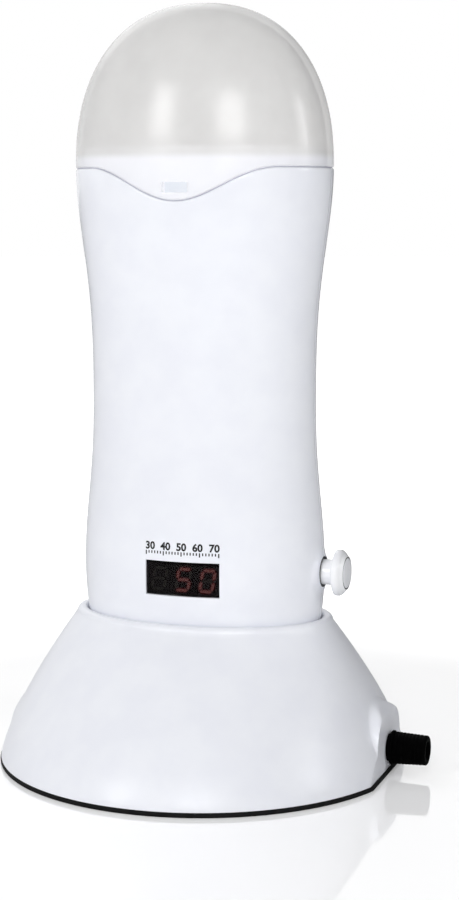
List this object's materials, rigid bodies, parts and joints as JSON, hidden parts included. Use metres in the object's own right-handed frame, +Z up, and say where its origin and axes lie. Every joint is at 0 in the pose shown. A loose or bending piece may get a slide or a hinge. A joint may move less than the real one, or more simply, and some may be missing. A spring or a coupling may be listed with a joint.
{
  "type": "roll on wax heater",
  "caption": "Handheld wax cartridge heater with a domed cap, a temperature display and a side knob, standing in a flared base with a cord gland.",
  "frame": {"origin": "centre of the non-slip pad's underside, on the axis of the round foot", "axes": "+Z up, the front with the display and the tongue of the cap faces -Y, the knob and the cord gland are on the +X side"},
  "size_m": [0.1326, 0.1246, 0.2261],
  "materials": {
    "white_shell": "glossy white moulded ABS",
    "white_neck": "satin white moulded polypropylene",
    "pale_blue": "satin pale blue-grey plastic",
    "chamber": "drawn aluminium",
    "screw_steel": "zinc plated steel",
    "heater": "sintered heater ceramic",
    "sensor": "resin coated sensor bead",
    "red_lead": "silicone insulation",
    "brown_lead": "silicone insulation",
    "board": "green solder mask",
    "display_black": "black display housing",
    "lit_red": "lit red strokes",
    "unlit_grey": "unlit strokes",
    "smoked_window": "smoked acrylic",
    "relay_blue": "moulded relay case",
    "capacitor_black": "sleeved can",
    "control_grey": "moulded control case",
    "black_plastic": "black moulded nylon",
    "contact_brass": "turned brass",
    "white_knob": "glossy white moulded ABS",
    "knob_grey": "glossy pale grey disc",
    "frosted_cap": "frosted pearly polypropylene, lets light through",
    "terminal_ivory": "moulded polyamide",
    "black_gland": "black moulded nylon",
    "pad_rubber": "black non-slip rubber"
  },
  "bodies": {
    "base": {"base_shell": "white_shell", "pin_block": "black_plastic", "contact_pins": "contact_brass", "pin_block_screws": "screw_steel", "dock_leads": "brown_lead", "terminal_block": "terminal_ivory", "terminal_screws": "screw_steel", "cord_clamp": "black_plastic", "cord_clamp_screws": "screw_steel", "cord_gland": "black_gland", "gland_nut": "black_gland", "base_plate": "black_plastic", "base_screws": "screw_steel", "non_slip_pad": "pad_rubber"},
    "handset": {"front_shell": "white_shell", "rear_shell": "white_shell", "neck_collar": "white_neck", "catch_lug": "pale_blue", "heating_chamber": "chamber", "chamber_screws": "screw_steel", "heater_block": "heater", "heater_clamp": "chamber", "heater_screws": "screw_steel", "thermal_fuse": "screw_steel", "temperature_sensor": "sensor", "heater_leads": "red_lead", "control_board": "board", "display_module": "display_black", "lit_digits": "lit_red", "unlit_digit": "unlit_grey", "display_window": "smoked_window", "relay": "relay_blue", "capacitor": "capacitor_black", "potentiometer": "control_grey", "board_screws": "screw_steel", "socket_block": "black_plastic", "socket_sleeves": "contact_brass", "supply_leads": "brown_lead", "shell_screws": "screw_steel"},
    "knob": {"control_shaft": "screw_steel", "knob": "white_knob", "knob_face": "knob_grey"},
    "cap": {"cap": "frosted_cap"}
  },
  "joints": [
    {"name": "handset_lift", "type": "slide", "parent": "base", "child": "handset", "axis": [0, 0, 1], "range_m": [0, 0.06]},
    {"name": "cap_lift", "type": "slide", "parent": "handset", "child": "cap", "axis": [0, 0, 1], "range_m": [0, 0.07]},
    {"name": "knob_turn", "type": "hinge", "parent": "handset", "child": "knob", "pos_m": [0, 0, 0.0594], "axis": [1, 0, 0], "range_deg": [-135, 135]}
  ]
}
